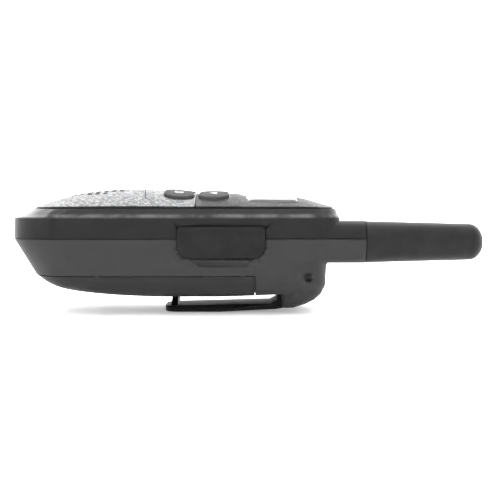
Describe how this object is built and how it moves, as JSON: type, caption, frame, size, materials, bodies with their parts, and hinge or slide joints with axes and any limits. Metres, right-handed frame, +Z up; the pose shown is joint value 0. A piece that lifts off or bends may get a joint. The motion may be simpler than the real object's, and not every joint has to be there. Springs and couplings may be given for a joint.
{
  "type": "two-way radio",
  "caption": "Hand-held two-way radio with stub antenna, crowned speaker face, keys, small display, side push-to-talk button and sprung belt clip.",
  "frame": {"origin": "middle of the bounding box at its base, on the surface that the belt clip rests on", "axes": "+X along the body towards the antenna tip, +Y towards the push-to-talk side, +Z up through the front face"},
  "size_m": [0.165, 0.0563, 0.0434],
  "materials": {
    "spring_wire": "plated spring steel",
    "brass_fitting": "turned brass",
    "antenna_rubber": "moulded rubber, fine matte",
    "cell_jacket": "printed sleeve over a steel can, no text",
    "rear_plastic": "fine moulded texture",
    "front_plastic": "satin moulded texture",
    "clip_plastic": "satin",
    "part_plastic": "matte",
    "screw_steel": "blackened steel",
    "bezel_plastic": "satin dark grey",
    "face_plastic": "light grey with fine sparkle",
    "board_laminate": "solder mask",
    "lens_clear": "hard coated clear plastic",
    "cover_rubber": "matte soft rubber",
    "key_plastic": "satin rubberised",
    "button_plastic": "soft ribbed",
    "mat_rubber": "silicone",
    "lcd_glass": "liquid crystal panel",
    "light_clear": "clear plastic",
    "shield_metal": "tinned steel",
    "speaker_paper": "pressed paper",
    "frame_metal": "plated steel",
    "foam": "closed cell foam",
    "magnet": "plated ferrite"
  },
  "bodies": {
    "radio": {"antenna_coil": "spring_wire", "antenna_contact": "spring_wire", "antenna_ferrule": "brass_fitting", "antenna_sleeve": "antenna_rubber", "battery_cell_1": "cell_jacket", "battery_cell_2": "cell_jacket", "battery_cell_3": "cell_jacket", "battery_spring_1": "spring_wire", "battery_spring_2": "spring_wire", "battery_spring_3": "spring_wire", "board_connector": "part_plastic", "board_screw_1": "screw_steel", "board_screw_2": "screw_steel", "clip_base": "clip_plastic", "clip_pin": "screw_steel", "clip_spring": "spring_wire", "contact_plate_foot": "spring_wire", "contact_plate_top": "spring_wire", "display_bezel": "bezel_plastic", "display_board": "board_laminate", "display_lens": "lens_clear", "front_housing": "front_plastic", "headset_jack": "part_plastic", "housing_screw_1": "screw_steel", "housing_screw_2": "screw_steel", "housing_screw_3": "screw_steel", "housing_screw_4": "screw_steel", "keypad_mat": "mat_rubber", "keypad_panel": "face_plastic", "lcd_frame": "part_plastic", "lcd_glass": "lcd_glass", "light_pipe": "light_clear", "main_board": "board_laminate", "microphone": "shield_metal", "microphone_boot": "mat_rubber", "microphone_jack": "part_plastic", "processor_chip": "part_plastic", "ptt_switch": "part_plastic", "rear_housing": "rear_plastic", "rf_shield": "shield_metal", "speaker_cone": "speaker_paper", "speaker_frame": "frame_metal", "speaker_gasket": "foam", "speaker_magnet": "magnet", "speaker_panel": "face_plastic"},
    "belt_clip": {"belt_clip": "clip_plastic"},
    "jack_cover": {"jack_cover": "cover_rubber"},
    "battery_door": {"battery_door": "rear_plastic"},
    "ptt_button": {"ptt_button": "button_plastic"},
    "key_call": {"key_call": "key_plastic"},
    "key_menu": {"key_menu": "key_plastic"},
    "key_up": {"key_up": "key_plastic"},
    "key_down": {"key_down": "key_plastic"}
  },
  "joints": [
    {"name": "belt_clip_hinge", "type": "hinge", "parent": "radio", "child": "belt_clip", "pos_m": [0.0139, 0, 0.0052], "axis": [0, -1, 0], "range_deg": [0, 15], "stiffness_Nm_per_rad": 0.4, "springref_deg": -11.46},
    {"name": "jack_cover_hinge", "type": "hinge", "parent": "radio", "child": "jack_cover", "pos_m": [-0.00805, -0.02777, 0.03075], "axis": [-0.9994, -0.0351, 0], "range_deg": [0, 100]},
    {"name": "battery_door_slide", "type": "slide", "parent": "radio", "child": "battery_door", "axis": [-1, 0, 0], "range_m": [0, 0.086]},
    {"name": "ptt_button_slide", "type": "slide", "parent": "radio", "child": "ptt_button", "axis": [0, -1, 0], "range_m": [0, 0.001], "stiffness_N_per_m": 2000},
    {"name": "key_call_slide", "type": "slide", "parent": "radio", "child": "key_call", "axis": [0, 0, -1], "range_m": [0, 0.0007], "stiffness_N_per_m": 1500},
    {"name": "key_menu_slide", "type": "slide", "parent": "radio", "child": "key_menu", "axis": [0, 0, -1], "range_m": [0, 0.0007], "stiffness_N_per_m": 1500},
    {"name": "key_up_slide", "type": "slide", "parent": "radio", "child": "key_up", "axis": [0, 0, -1], "range_m": [0, 0.0007], "stiffness_N_per_m": 1500},
    {"name": "key_down_slide", "type": "slide", "parent": "radio", "child": "key_down", "axis": [0, 0, -1], "range_m": [0, 0.0007], "stiffness_N_per_m": 1500}
  ]
}
